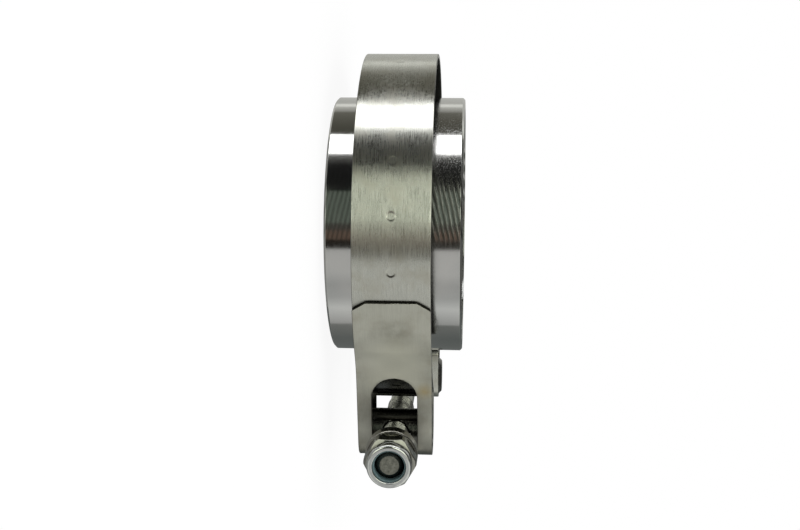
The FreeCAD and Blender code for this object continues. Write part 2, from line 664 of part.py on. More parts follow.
for item in doc.Objects:
    broken = {"Invalid", "Error"} & set(item.State)
    if broken:
        raise RuntimeError(f"{item.Label} is {', '.join(sorted(broken))}")

bodies = [item for item in doc.Objects if item.TypeId == "PartDesign::Body"]
for body in bodies:
    if body.Shape.isNull() or not body.Shape.isValid() or len(body.Shape.Solids) != 1:
        raise RuntimeError(f"{body.Label} has no single valid solid")

os.makedirs("parts", exist_ok=True)
for body in bodies:
    body.Shape.exportStep(f"parts/{body.Label}.step")
    box = body.Shape.BoundBox
    print(f"{body.Label}: volume {body.Shape.Volume:.1f}, Z {box.ZMin:.2f} to {box.ZMax:.2f}")
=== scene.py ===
import math

import bmesh
import bpy
from mathutils import Matrix, Vector


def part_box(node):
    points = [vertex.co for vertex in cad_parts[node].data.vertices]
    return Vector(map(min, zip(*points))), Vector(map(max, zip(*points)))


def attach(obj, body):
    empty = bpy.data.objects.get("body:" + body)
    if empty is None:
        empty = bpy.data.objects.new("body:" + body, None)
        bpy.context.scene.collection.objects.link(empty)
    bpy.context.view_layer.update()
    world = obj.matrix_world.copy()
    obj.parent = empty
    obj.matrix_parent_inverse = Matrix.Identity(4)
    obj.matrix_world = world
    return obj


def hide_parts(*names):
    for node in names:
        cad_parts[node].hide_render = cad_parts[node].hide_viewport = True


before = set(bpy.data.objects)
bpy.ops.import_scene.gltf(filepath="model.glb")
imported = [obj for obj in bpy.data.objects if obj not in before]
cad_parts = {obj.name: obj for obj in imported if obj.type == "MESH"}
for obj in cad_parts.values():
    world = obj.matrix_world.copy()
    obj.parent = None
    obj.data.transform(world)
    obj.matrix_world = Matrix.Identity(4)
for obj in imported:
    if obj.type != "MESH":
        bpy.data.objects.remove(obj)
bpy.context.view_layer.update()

# V-band clamp on its weld flanges: the ring's axis is +Z, the gap faces +X, the nut -Y.
# Shapes are drawn in millimetres in the CAD's frame and scaled to metres by piece() and cut().
# The studio is laid out in metres.

MM = 0.001


def span(node, axis):
    """Lowest and highest place of a CAD node along x, y or z, in millimetres."""
    low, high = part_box(node)
    index = "xyz".index(axis)
    return low[index] / MM, high[index] / MM


def along_bolt(node):
    """Where a node starts and ends along the bolt, in millimetres from the T-bar's axis."""
    low, high = span(node, "y")
    return LOOP_Y - high, LOOP_Y - low


# Driving sizes in millimetres, taken from the CAD nodes where these give them.
BAND_LOW, BAND_HIGH = span("band", "z")
MIDDLE = (BAND_LOW + BAND_HIGH) / 2
HALF_WIDTH = (BAND_HIGH - BAND_LOW) / 2
SHEET = 1.0
RING = -span("band", "x")[0] - SHEET / 2
TOP = span("upper_flange", "z")[1]
LOOP_X = (span("trunnion", "x")[0] + span("trunnion", "x")[1]) / 2
LOOP_Y = -(span("trunnion", "y")[0] + span("trunnion", "y")[1]) / 2
PIN = (span("trunnion", "x")[1] - span("trunnion", "x")[0]) / 2
LOOP = span("band", "x")[1] - LOOP_X - SHEET / 2
SLOT = 6.4  # half the width of the bolt's slot
SPIGOT, BORE, SPIGOT_CHAMFER = 38.1, 35.1, 0.6
LIP, LIP_HALF = 46.5, 2.2  # radius of the flanges' lips, and half the pair's thickness at the rim
WEDGE = math.radians(20)
PILOT, PILOT_RISE, PILOT_PLAY = 41.0, 1.4, 0.1
THREAD, SHANK, PITCH = 4.0, 3.55, 1.25
THREAD_DEPTH, THREAD_START, BOLT_CHAMFER = 0.74, 33.4, 1.4
NUT_BORE = THREAD + 0.05


# Mesh tools ------------------------------------------------------------------------------

def rounded(corners, steps=5):
    """An outline from (x, y, radius) corners, each turned into an arc of its radius."""
    points = []
    for index, (x, y, radius) in enumerate(corners):
        here = Vector((x, y))
        back = Vector(corners[index - 1][:2]) - here
        on = Vector(corners[(index + 1) % len(corners)][:2]) - here
        if radius <= 0:
            points.append(here)
            continue
        half = back.angle(on) / 2
        run = min(radius / math.tan(half), 0.49 * back.length, 0.49 * on.length)
        radius = run * math.tan(half)
        inward = (back.normalized() + on.normalized()).normalized()
        centre = here + inward * radius / math.sin(half)
        first = here + back.normalized() * run - centre
        last = here + on.normalized() * run - centre
        start = math.atan2(first.y, first.x)
        turn = (math.atan2(last.y, last.x) - start + math.pi) % (2 * math.pi) - math.pi
        for step in range(steps + 1):
            angle = start + turn * step / steps
            points.append(centre + radius * Vector((math.cos(angle), math.sin(angle))))
    return points


def lathe(outline, steps=256, start=0.0, sweep=360.0):
    """A closed outline of (radius, height) turned about +Z, with its UVs in millimetres."""
    mesh = bmesh.new()
    lines = mesh.loops.layers.uv.new("Lines")
    closed = sweep >= 360
    mean = sum(point.x for point in outline) / len(outline)
    runs = [0.0]
    for index, point in enumerate(outline):
        runs.append(runs[-1] + (outline[(index + 1) % len(outline)] - point).length)
    rings = []
    for step in range(steps if closed else steps + 1):
        angle = math.radians(start + sweep * step / steps)
        rings.append([
            mesh.verts.new((p.x * math.cos(angle), p.x * math.sin(angle), p.y)) for p in outline
        ])
    for step in range(steps):
        this, after = rings[step], rings[(step + 1) % len(rings)]
        for index in range(len(outline)):
            beyond = (index + 1) % len(outline)
            if outline[index].x < 1e-6 and outline[beyond].x < 1e-6:
                continue
            face = mesh.faces.new((this[index], after[index], after[beyond], this[beyond]))
            along = [math.radians(sweep) * mean * (step + k) / steps for k in (0, 1)]
            places = (
                (along[0], runs[index]), (along[1], runs[index]),
                (along[1], runs[index + 1]), (along[0], runs[index + 1]),
            )
            for loop, place in zip(face.loops, places):
                loop[lines].uv = place
    if not closed:
        mesh.faces.new(list(reversed(rings[0])))
        mesh.faces.new(rings[-1])
    bmesh.ops.remove_doubles(mesh, verts=mesh.verts, dist=1e-5)
    bmesh.ops.recalc_face_normals(mesh, faces=mesh.faces)
    return mesh


# Takes a piece turned about +Z to the bolt's line, which runs from the T-bar toward -Y.
BOLT_LINE = Matrix((
    (1, 0, 0, LOOP_X), (0, 0, -1, LOOP_Y), (0, 1, 0, MIDDLE), (0, 0, 0, 1),
))


def piece(name, mesh, body, material, nodes, place=None, sharp=35.0):
    """Turn a drawn mesh into a piece of the scene that stands for some CAD nodes."""
    if place:
        mesh.transform(place)
    mesh.transform(Matrix.Scale(MM, 4))
    data = bpy.data.meshes.new(name)
    mesh.to_mesh(data)
    mesh.free()
    data.shade_smooth()
    data.set_sharp_from_angle(angle=math.radians(sharp))
    obj = bpy.data.objects.new(name, data)
    bpy.context.scene.collection.objects.link(obj)
    data.materials.append(material)
    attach(obj, body)
    if nodes:
        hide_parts(*nodes)
    return obj


def even_shading(obj):
    """Let large faces set the shading beside small rounds."""
    even = obj.modifiers.new("Even_shading", "WEIGHTED_NORMAL")
    even.keep_sharp = True


def soften(obj, width, angle=38.0):
    """Round the piece's sharp edges and even out its shading."""
    bevel = obj.modifiers.new("Soft_edges", "BEVEL")
    bevel.width = width * MM
    bevel.segments = 3
    bevel.limit_method = "ANGLE"
    bevel.angle_limit = math.radians(angle)
    bevel.use_clamp_overlap = False
    bevel.miter_outer = "MITER_ARC"
    even_shading(obj)


# Materials -------------------------------------------------------------------------------

class Finish:
    """A material being wired: its shader, and short calls that add the nodes it needs."""

    def __init__(self, name, colour, roughness, metallic=1.0):
        self.material = bpy.data.materials.new(name)
        self.material.use_nodes = True
        self.tree = self.material.node_tree
        self.shader = self.tree.nodes["Principled BSDF"]
        self.shader.inputs["Base Color"].default_value = (*colour, 1)
        self.shader.inputs["Roughness"].default_value = roughness
        self.shader.inputs["Metallic"].default_value = metallic

    def node(self, kind, inputs=(), **settings):
        node = self.tree.nodes.new(kind)
        for key, value in settings.items():
            setattr(node, key, value)
        for key, value in dict(inputs).items():
            if isinstance(value, bpy.types.NodeSocket):
                self.tree.links.new(value, node.inputs[key])
            else:
                node.inputs[key].default_value = value
        return node

    def set(self, key, socket):
        self.tree.links.new(socket, self.shader.inputs[key])

    def lines(self, along, across):
        """Coordinates on the surface in millimetres, stretched along the tool's lines."""
        layer = self.node("ShaderNodeUVMap", uv_map="Lines")
        return self.node(
            "ShaderNodeMapping", {"Vector": layer.outputs[0], "Scale": (along, across, 1)}
        ).outputs[0]

    def place(self, scale=1.0):
        """Coordinates of the piece itself, in millimetres times a scale."""
        texture = self.node("ShaderNodeTexCoord")
        size = scale / MM
        return self.node(
            "ShaderNodeMapping",
            {"Vector": texture.outputs["Object"], "Scale": (size, size, size)},
        ).outputs[0]

    def noise(self, vector, scale=1.0, detail=3.0, roughness=0.5, distortion=0.0):
        return self.node("ShaderNodeTexNoise", {
            "Vector": vector, "Scale": scale, "Detail": detail, "Roughness": roughness,
            "Distortion": distortion,
        }).outputs["Fac"]

    def spread(self, value, low, high, start=0.35, end=0.65):
        """A value between low and high as the input goes from start to end."""
        return self.node("ShaderNodeMapRange", {
            "Value": value, "From Min": start, "From Max": end, "To Min": low, "To Max": high,
        }).outputs[0]

    def blend(self, factor, first, second):
        """A colour between two, each written out or wired."""
        node = self.node("ShaderNodeMix", {"Factor": factor}, data_type="RGBA")
        for key, value in (("A", first), ("B", second)):
            socket = next(s for s in node.inputs if s.name == key and s.type == "RGBA")
            if isinstance(value, bpy.types.NodeSocket):
                self.tree.links.new(value, socket)
            else:
                socket.default_value = (*value, 1)
        return next(s for s in node.outputs if s.type == "RGBA")

    def product(self, first, second, operation="MULTIPLY"):
        """Two values multiplied, or put together by another sum."""
        return self.node("ShaderNodeMath", {0: first, 1: second}, operation=operation).outputs[0]

    def painted_shade(self, colour, reach, strength=1.0, start=0.25, end=0.95):
        """The colour with painted shade: darker in corners and hollows, the more sheltered they
        are.
        """
        shelter = self.node("ShaderNodeAmbientOcclusion", {"Distance": reach * MM}, samples=16)
        open_share = self.spread(shelter.outputs["AO"], strength, 0, start, end)
        return self.blend(open_share, colour, (0.035, 0.034, 0.03))

    def near(self, point, inner, outer):
        """1 within a distance in millimetres of a point on the piece, falling to 0."""
        away = self.node(
            "ShaderNodeVectorMath", {0: self.place(), 1: point}, operation="DISTANCE")
        return self.spread(away.outputs["Value"], 1, 0, inner, outer)

    def bump(self, *layers):
        """Stack bumps, each a height and its depth in millimetres."""
        normal = None
        for height, depth in layers:
            inputs = {"Height": height, "Distance": depth * MM, "Strength": 1.0}
            if normal:
                inputs["Normal"] = normal
            normal = self.node("ShaderNodeBump", inputs).outputs[0]
        self.set("Normal", normal)

    def brushed(self, amount):
        """Stretch highlights across the tool's lines."""
        self.shader.inputs["Anisotropic"].default_value = amount
        self.shader.inputs["Anisotropic Rotation"].default_value = 0.25
        tangent = self.node("ShaderNodeTangent", direction_type="UV_MAP", uv_map="Lines")
        self.set("Tangent", tangent.outputs[0])


# Places on the strap, in millimetres: a scuffed patch high on the ring, a straw-coloured tint
# beside the bolt's slot, a painted highlight on the outer leaf and a smudge near the tail's end.
FROSTED = (-43.5, -27.5, 20.0)
HEAT_TINT = (40.9, -37.5, 27.9)
HIGHLIGHT_SPOT = (33.0, -42.0, 19.0)
SMUDGE = (22.8, -47.0, 19.5)

# Runs of the strap, in millimetres, over which its look changes. The tails' are counted from
# the strap's ends, the others from where a loop meets its outer leaf.
TAIL_TONE, TAIL_ROUGH = (-62, -58), (-56, -50)
# Painted shade round the bend of each loop.
LOOP_SHADE_FROM, LOOP_SHADE_TO = (-14, -9), (-1.5, 4)
# A painted highlight along each outer leaf.
LEAF_HIGHLIGHT = (8, 20)


def band_finish(length, loop_start):
    """Rolled strap: satin, with fine lines along it, faint stains, duller folded ends, painted
    shade at the loops, weld marks and hollows, and a painted highlight on the outer leaf.
    """
    f = Finish("Band_steel", (0.58, 0.59, 0.55), 0.28)
    fine = f.noise(f.lines(0.2, 5.5), detail=5, roughness=0.65)
    broad = f.noise(f.lines(0.01, 0.9), detail=3)
    stain = f.noise(f.place(0.15), detail=6, roughness=0.65)
    frost = f.noise(f.place(0.75), detail=7, roughness=0.8, distortion=1.2)
    scuffed = f.near(FROSTED, 3.0, 13.0)

    half = length / 2
    bend = half - loop_start
    along = f.node("ShaderNodeSeparateXYZ", {0: f.lines(1, 1)}).outputs["X"]
    from_middle = f.product(f.product(along, half, "SUBTRACT"), 0.0, "ABSOLUTE")

    def past(low, high, origin, run):
        """A value going from low to high over a run that lies outward of an origin."""
        return f.spread(from_middle, low, high, origin + run[0], origin + run[1])

    tone = f.blend(f.spread(broad, 0, 1), (0.61, 0.62, 0.575), (0.65, 0.655, 0.61))
    tone = f.blend(past(0, 0.5, half, TAIL_TONE), tone, (0.62, 0.615, 0.53))
    # Painted shade round each loop's bend, where the strap turns under.
    bend_shade = f.product(past(0.8, 0, bend, LOOP_SHADE_TO), past(0, 1, bend, LOOP_SHADE_FROM))
    tone = f.blend(bend_shade, tone, (0.16, 0.16, 0.14))
    tone = f.blend(f.spread(fine, 0.3, 0, 0.36, 0.6), tone, (0.34, 0.345, 0.31))
    smudged = f.product(f.near(SMUDGE, 1.5, 7.0), f.spread(stain, 0.2, 0.9))
    tone = f.blend(smudged, tone, (0.3, 0.295, 0.25))
    tone = f.blend(f.spread(stain, 0, 0.55, 0.48, 0.7), tone, (0.46, 0.44, 0.37))
    tinted = f.product(f.near(HEAT_TINT, 0.5, 3.2), f.spread(stain, 0.1, 0.8))
    tone = f.blend(tinted, tone, (0.62, 0.5, 0.27))
    # Painted highlight on the outer leaf, brightest round its spot.
    highlighted = f.blend(f.near(HIGHLIGHT_SPOT, 4.0, 12.0), tone, (0.92, 0.92, 0.81))
    tone = f.blend(past(0, 0.85, bend, LEAF_HIGHLIGHT), tone, highlighted)
    # Painted shadow on the weld marks' sides toward the gap.
    weld_shade = f.node("ShaderNodeAttribute", attribute_name="Weld_shade").outputs["Fac"]
    tone = f.blend(weld_shade, tone, (0.06, 0.055, 0.05))
    # Painted shade in the strap's hollows and crevices.
    f.set("Base Color", f.painted_shade(tone, 14.0, 1.0, 0.5, 0.85))

    scratches = f.product(f.spread(fine, -0.05, 0.06), f.spread(stain, -0.03, 0.04), "ADD")
    folded = past(0.27, 0.42, half, TAIL_ROUGH)
    worn = f.product(f.spread(frost, 0, 0.35, 0.5, 0.62), scuffed)
    f.set("Roughness", f.product(f.product(scratches, folded, "ADD"), worn, "ADD"))
    f.brushed(0.85)
    f.bump((fine, 0.006), (broad, 0.0012), (f.product(frost, scuffed), 0.05))
    return f.material


def sheared_finish():
    """The strap's cut edges: bright along its sides, dark and torn across its ends."""
    f = Finish("Band_cut_edge", (0.5, 0.5, 0.48), 0.42)
    normal = f.node("ShaderNodeNewGeometry").outputs["Normal"]
    facing = f.node("ShaderNodeSeparateXYZ", {0: normal}).outputs["Z"]
    flank = f.product(facing, 0.0, "ABSOLUTE")
    grain = f.noise(f.place(2.5), detail=5)
    bright = f.blend(f.spread(grain, 0, 1), (0.56, 0.56, 0.54), (0.64, 0.64, 0.62))
    tone = f.blend(f.spread(flank, 0, 1, 0.9, 0.97), (0.05, 0.048, 0.042), bright)
    # Painted shade in hollows.
    f.set("Base Color", f.painted_shade(tone, 6.0))
    f.set("Roughness", f.spread(grain, 0.34, 0.5))
    f.bump((grain, 0.02))
    return f.material


# Places across the flanges, in millimetres along x, between which their marks fade in and out.
MARKS_IN, MARKS_OUT = (-22, -17), (-3.5, 0.3)
SPECKS_IN, SPECKS_OUT = (-38, -33), (-22, -14)


def turned_finish(name, marking, speckled=False):
    """Bright turned weld flange, with slanting tool marks and perhaps fine specks beside them."""
    f = Finish(name, (0.66, 0.66, 0.65), 0.12)
    rings = f.noise(f.lines(0.004, 3.5), detail=5, roughness=0.6)
    broad = f.noise(f.place(0.05), detail=4)
    side = f.node("ShaderNodeSeparateXYZ", {0: f.place()}).outputs["X"]

    def stretch(fade_in, fade_out, least=0):
        return f.product(f.spread(side, least, 1, *fade_in), f.spread(side, 1, 0, *fade_out))

    wave = f.node("ShaderNodeTexWave", {
        "Vector": f.lines(0.1, 0.48), "Scale": 1.0, "Distortion": 1.2, "Detail": 2.0,
    }, wave_type="BANDS", bands_direction="DIAGONAL").outputs["Fac"]
    marks = f.product(wave, stretch(MARKS_IN, MARKS_OUT, 0.1))
    tone = f.blend(f.spread(broad, 0, 1), (0.6, 0.61, 0.6), (0.69, 0.685, 0.67))
    tone = f.blend(f.spread(marks, 0, 0.9 * marking, 0.3, 0.7), tone, (0.16, 0.165, 0.15))
    rough = f.product(f.spread(rings, -0.02, 0.03), f.spread(broad, 0.08, 0.13), "ADD")
    rough = f.product(rough, f.spread(marks, 0, 0.08 * marking, 0.2, 0.8), "ADD")
    if speckled:
        specks = f.spread(f.noise(f.place(4.0), detail=2), 0, 0.18, 0.5, 0.66)
        rough = f.product(rough, f.product(specks, stretch(SPECKS_IN, SPECKS_OUT)), "ADD")
    f.set("Base Color", tone)
    f.set("Roughness", rough)
    f.brushed(0.35)
    f.bump((rings, 0.004), (marks, 0.011 * marking))
    return f.material


def pressed_finish():
    """Dull pressed sheet of the V retainers."""
    f = Finish("Retainer_steel", (0.5, 0.5, 0.49), 0.38)
    grain = f.noise(f.place(0.8), detail=5)
    tone = f.blend(f.spread(grain, 0, 1), (0.46, 0.46, 0.45), (0.53, 0.53, 0.52))
    # Painted shade in hollows.
    f.set("Base Color", f.painted_shade(tone, 6.0))
    f.set("Roughness", f.spread(grain, 0.33, 0.45))
    f.bump((grain, 0.01))
    return f.material


def machined_finish(name, colour, roughness, speckle, hollow_shade=0.9, mottle=0.14):
    """Small turned or cold-formed parts: fine tool lines under a speckle of handling marks."""
    f = Finish(name, colour, roughness)
    rings = f.noise(f.lines(0.01, 5.0), detail=4)
    marks = f.noise(f.place(1.1), detail=6, roughness=0.7)
    dark = tuple((1 - mottle) * value for value in colour)
    light = tuple(min(1, 1.05 * value) for value in colour)
    # The base colour carries painted shade in hollows.
    f.set("Base Color", f.painted_shade(f.blend(f.spread(marks, 0, 1), dark, light), 5.0, hollow_shade))
    handled = f.spread(marks, roughness - 0.06, roughness + 0.08)
    f.set("Roughness", f.product(f.spread(rings, -0.04, 0.05), handled, "ADD"))
    f.brushed(0.3)
    f.bump((rings, 0.003), (marks, speckle))
    return f.material


def nylon_finish():
    """Teal nylon of the locking ring."""
    f = Finish("Nylon", (0.2, 0.32, 0.33), 0.42, metallic=0.0)
    grain = f.noise(f.place(1.5), detail=4)
    f.set("Base Color", f.blend(f.spread(grain, 0, 1), (0.17, 0.28, 0.29), (0.23, 0.35, 0.36)))
    f.set("Roughness", f.spread(grain, 0.36, 0.5))
    f.bump((grain, 0.01))
    return f.material


# Band ------------------------------------------------------------------------------------

TAIL_END = 75.3  # degrees round the ring at which the tails end
TAIL_BEND, GAP_BEND = 25.0, 1.5  # radius where a tail and an inner leaf leave the ring
LEAN = 12.5  # degrees by which the outer leaves slope
WINDOW_RUN, WINDOW_FOOT = 20.8, 8.0  # how far the slot runs before and after the loop
CORNER_LONG, CORNER_SHORT = 3.7, 2.3  # cut corners of the tails, across and along

# Spot welds: first their angles in degrees on each half of the ring, and the last three round
# the back. Then the marks that they leave in the sheet, in millimetres and in shares of their
# radius. The ones within FAINT_RUN of the strap's middle are fainter, by FAINT.
WELD_FIRST, WELD_STEP, WELD_COUNT = 34.3, 16.8, 6
BACK_STEP, BACK_COUNT = 15.5, 3
WELD_RADIUS, WELD_DEPTH, WELD_GRID = 1.35, 0.11, 0.22
WELD_REACH, WELD_EASE = 1.2, 0.22
# Painted shadow on each mark's side toward the gap: the ring it lies on, in shares of the radius,
# and how strongly it is painted.
WELD_SHADE_RING, WELD_SHADE_GAIN = 0.9, 1.8
FAINT_RUN, FAINT = 60.0, 0.3


def strap_bends():
    """Where the ring begins, and the middle line up to it as (length, turn in radians) pairs."""
    facing = math.radians(90 - LEAN)
    normal = Vector((math.cos(facing), math.sin(facing)))
    along = Vector((math.cos(math.radians(LEAN)), -math.sin(math.radians(LEAN))))
    tail = RING + SHEET
    loop = Vector((LOOP_X, LOOP_Y))
    leaf = normal.dot(loop) + LOOP
    bend = TAIL_BEND + SHEET / 2
    centre_run = math.sqrt((tail + bend) ** 2 - (leaf + bend) ** 2)
    centre = normal * (leaf + bend) + along * centre_run
    lift = math.atan2(centre.y, centre.x)
    gap = GAP_BEND + SHEET / 2
    gap_y = LOOP_Y - LOOP + gap
    gap_x = math.sqrt((RING + gap) ** 2 - gap_y ** 2)
    gap_angle = math.atan2(gap_y, gap_x)
    unbend = facing - lift
    return gap_angle, [
        (tail * (math.radians(TAIL_END) - lift), lift - math.radians(TAIL_END)),
        (bend * unbend, unbend),
        (along.dot(loop) - centre_run, 0.0),
        (LOOP * (facing + math.pi / 2), -facing - math.pi / 2),
        (LOOP_X - gap_x, 0.0),
        (gap * (math.pi / 2 - gap_angle), gap_angle - math.pi / 2),
    ]


def strap_line():
    """The middle line's point and outward normal as a function, its bends' starts, its length."""
    gap_angle, half = strap_bends()
    ring_length = RING * 2 * (math.pi - gap_angle)
    bends = half + [(ring_length, 2 * (math.pi - gap_angle))] + half[::-1]
    angle = math.radians(TAIL_END)
    point = (RING + SHEET) * Vector((math.cos(angle), math.sin(angle)))
    heading = angle - math.pi / 2
    starts, length = [], 0.0
    for run, turn in bends:
        starts.append((length, point.copy(), heading))
        point += travel(heading, run, turn)
        heading += turn
        length += run
    starts_at = [start for start, _, _ in starts]

    def fold(s):
        index = max(i for i, start in enumerate(starts_at) if s >= start - 1e-9)
        start, origin, direction = starts[index]
        run, turn = bends[index]
        part = (s - start) / run
        place = origin + travel(direction, s - start, turn * part)
        way = direction + turn * part
        return place, Vector((math.sin(way), -math.cos(way)))

    return fold, starts_at, length


def travel(heading, run, turn):
    """Where a run that starts at a heading and turns evenly ends."""
    if abs(turn) < 1e-9:
        return run * Vector((math.cos(heading), math.sin(heading)))
    radius = run / turn
    return radius * Vector((
        math.sin(heading + turn) - math.sin(heading),
        math.cos(heading) - math.cos(heading + turn),
    ))


def strap_stations(starts, length, welds):
    """Rows of points along half the strap, and where the slot's arch and foot are."""
    tip = starts[3] - WINDOW_RUN
    foot = starts[4] + WINDOW_FOOT
    marks = {0.0, CORNER_SHORT, foot}
    marks.update(starts[1:7])
    for k in range(19):
        marks.add(tip + SLOT * (1 - math.cos(math.radians(5 * k))))
    for weld in welds:
        for k in range(-7, 8):
            marks.add(weld + WELD_GRID * k)
    stations = sorted(mark for mark in marks if mark <= length / 2 + 1e-6)
    stations.append(length / 2)
    filled = []
    for low, high in zip(stations, stations[1:]):
        if high - low < 1e-4:
            continue
        bent = starts[3] <= low + 1e-6 < starts[4] or starts[5] <= low + 1e-6 < starts[6]
        longest = 0.35 if bent else 1.2
        count = max(1, math.ceil((high - low) / longest))
        filled.extend(low + (high - low) * k / count for k in range(count))
    filled.append(length / 2)
    return filled, tip, foot


def draw_band():
    """The folded strap as a sheet with its slots, cut corners and spot-weld marks."""
    fold, starts, length = strap_line()
    gap_angle = strap_bends()[0]
    angles = [WELD_FIRST + WELD_STEP * k for k in range(WELD_COUNT)]
    angles += [180 - BACK_STEP * k for k in reversed(range(BACK_COUNT))]
    welds = [starts[6] + RING * (math.radians(angle) - gap_angle) for angle in angles]
    half, tip, foot = strap_stations(starts, length, welds)
    stations = half + [length - s for s in reversed(half[:-1])]
    all_welds = welds + [length - weld for weld in welds]

    def slot_half(s):
        s = min(s, length - s)
        if s <= tip:
            return 0.0
        if s >= tip + SLOT:
            return SLOT
        return math.sqrt(max(0.0, SLOT ** 2 - (tip + SLOT - s) ** 2))

    def edge_half(s):
        s = min(s, length - s)
        return HALF_WIDTH - CORNER_LONG * max(0.0, 1 - s / CORNER_SHORT)

    def dent(s, v):
        """Depth of a spot-weld mark here, and the painted shadow on its side toward the gap."""
        for weld in all_welds:
            away = math.hypot(s - weld, v) / WELD_RADIUS
            if away < WELD_REACH:
                ease = min(1.0, max(0.0, 1 - away) / WELD_EASE)
                outward = (s - weld) * (1 if weld > length / 2 else -1)
                edge = max(0.0, 1 - abs(away - WELD_SHADE_RING) / WELD_EASE)
                weld_shade = edge * max(0.0, outward / (away * WELD_RADIUS + 1e-9) - 0.1)
                share = 1.0 if abs(weld - length / 2) > FAINT_RUN else FAINT
                return WELD_DEPTH * share * ease * ease * (3 - 2 * ease), share * weld_shade
        return 0.0, 0.0

    mesh = bmesh.new()
    lines = mesh.loops.layers.uv.new("Lines")
    weld_shade_layer = mesh.verts.layers.float.new("Weld_shade")

    def strip(columns, low, high, fractions):
        """Faces between two edges of the strap, divided across it at the given fractions."""
        rows = []
        for s in columns:
            place, outward = fold(s)
            row = []
            for fraction in fractions:
                v = low(s) + (high(s) - low(s)) * fraction
                depth, weld_shade = dent(s, v)
                at = place - outward * depth
                vert = mesh.verts.new((at.x, at.y, MIDDLE + v))
                vert[weld_shade_layer] = min(1.0, WELD_SHADE_GAIN * weld_shade)
                row.append((vert, (s, v)))
            rows.append(row)
        for row, after in zip(rows, rows[1:]):
            for k in range(len(fractions) - 1):
                corners = (row[k], after[k], after[k + 1], row[k + 1])
                if (corners[0][0].co - corners[3][0].co).length < 1e-6:
                    corners = corners[:3]
                if (corners[1][0].co - corners[2][0].co).length < 1e-6:
                    corners = corners[:2] + corners[3:]
                if len({tuple(vert.co) for vert, _ in corners}) < 3:
                    continue
                face = mesh.faces.new([vert for vert, _ in corners])
                for loop, (_, uv) in zip(face.loops, corners):
                    loop[lines].uv = uv

    side = [k / 5 for k in range(6)]
    centre = sorted(
        {k * WELD_GRID / SLOT for k in range(-7, 8)} | {-1, -0.75, -0.5, 0.5, 0.75, 1})
    strip(stations, slot_half, edge_half, side)
    strip(stations, lambda s: -slot_half(s), lambda s: -edge_half(s), side)
    ring = [s for s in stations if foot - 1e-6 <= s <= length - foot + 1e-6]
    strip(ring, lambda s: 0.0, slot_half, centre)
    bmesh.ops.remove_doubles(mesh, verts=mesh.verts, dist=1e-4)
    bmesh.ops.recalc_face_normals(mesh, faces=mesh.faces)
    return mesh


def make_band(material, edge_material):
    """The strap with its thickness and soft sheared edges."""
    obj = piece("Band_strap", draw_band(), "clamp", material, ["band"])
    thick = obj.modifiers.new("Sheet", "SOLIDIFY")
    thick.thickness = SHEET * MM
    thick.offset = 0
    thick.use_even_offset = True
    obj.data.materials.append(edge_material)
    thick.material_offset_rim = 1
    soften(obj, 0.2)


# Flanges and retainers -------------------------------------------------------------------

def cone(radius):
    """Half thickness of the pair of lips where their cones reach this radius."""
    return LIP_HALF + (LIP - radius) * math.tan(WEDGE)


def flange_outline(face, way, pilot, rise, pilot_round):
    """Section of a flange from its weld face to the joint; way is -1 below it and 1 above."""
    return rounded([
        (BORE, face, 0.2), (SPIGOT - SPIGOT_CHAMFER, face, 0.08),
        (SPIGOT, face - way * SPIGOT_CHAMFER, 0.15), (SPIGOT, MIDDLE + way * cone(SPIGOT), 0.8),
        (LIP, MIDDLE + way * LIP_HALF, 0.3), (LIP, MIDDLE, 0.3), (pilot, MIDDLE, 0.1),
        (pilot, MIDDLE + rise, pilot_round), (BORE, MIDDLE + rise, 0.25),
    ])


def make_flanges(lower_material, upper_material):
    """The pair of weld flanges, with soft rims and their pilot joint."""
    lower = flange_outline(0, -1, PILOT, PILOT_RISE, 0.25)
    upper = flange_outline(TOP, 1, PILOT + PILOT_PLAY, PILOT_RISE + PILOT_PLAY, 0.1)
    for name, outline, material in (
        ("Lower_flange", lower, lower_material), ("Upper_flange", upper, upper_material),
    ):
        even_shading(piece(
            name, lathe(outline, 384), "clamp", material, [name.lower()]))


def make_retainers(material):
    """Three pressed V segments welded inside the ring."""
    crown, tip, sheet, play = RING - 0.55, SPIGOT + 2.4, 1.8, 0.05
    seat = crown - sheet

    def leg(radius, outer):
        """Height above the middle of a leg's outer or inner face at this radius."""
        return cone(radius) + (play + (sheet if outer else 0)) / math.cos(WEDGE)

    half = [
        (crown, leg(crown, True), 1.4), (tip, leg(tip, True), 0.3),
        (tip, leg(tip, False), 0.3), (seat, leg(seat, False), 0.4),
    ]
    outline = rounded(
        [(radius, MIDDLE + rise, corner) for radius, rise, corner in half]
        + [(radius, MIDDLE - rise, corner) for radius, rise, corner in reversed(half)])
    first, joint = 28.0, 6.0
    sweep = (360 - 2 * first - 2 * joint) / 3
    for k in range(3):
        segment = lathe(outline, 96, first + k * (sweep + joint), sweep)
        even_shading(piece(
            f"V_retainer_{k + 1}", segment, "clamp", material,
            [f"v_retainer_{k + 1}"]))


# Latch -----------------------------------------------------------------------------------

def drawn_prism(outline, depth):
    """A flat outline of (x, z) pushed through along y, for cutting."""
    mesh = bmesh.new()
    front = [mesh.verts.new((x, -depth, z)) for x, z in outline]
    back = [mesh.verts.new((x, depth, z)) for x, z in outline]
    mesh.faces.new(front)
    mesh.faces.new(list(reversed(back)))
    count = len(outline)
    for k in range(count):
        after = (k + 1) % count
        mesh.faces.new((front[after], front[k], back[k], back[after]))
    bmesh.ops.recalc_face_normals(mesh, faces=mesh.faces)
    return mesh


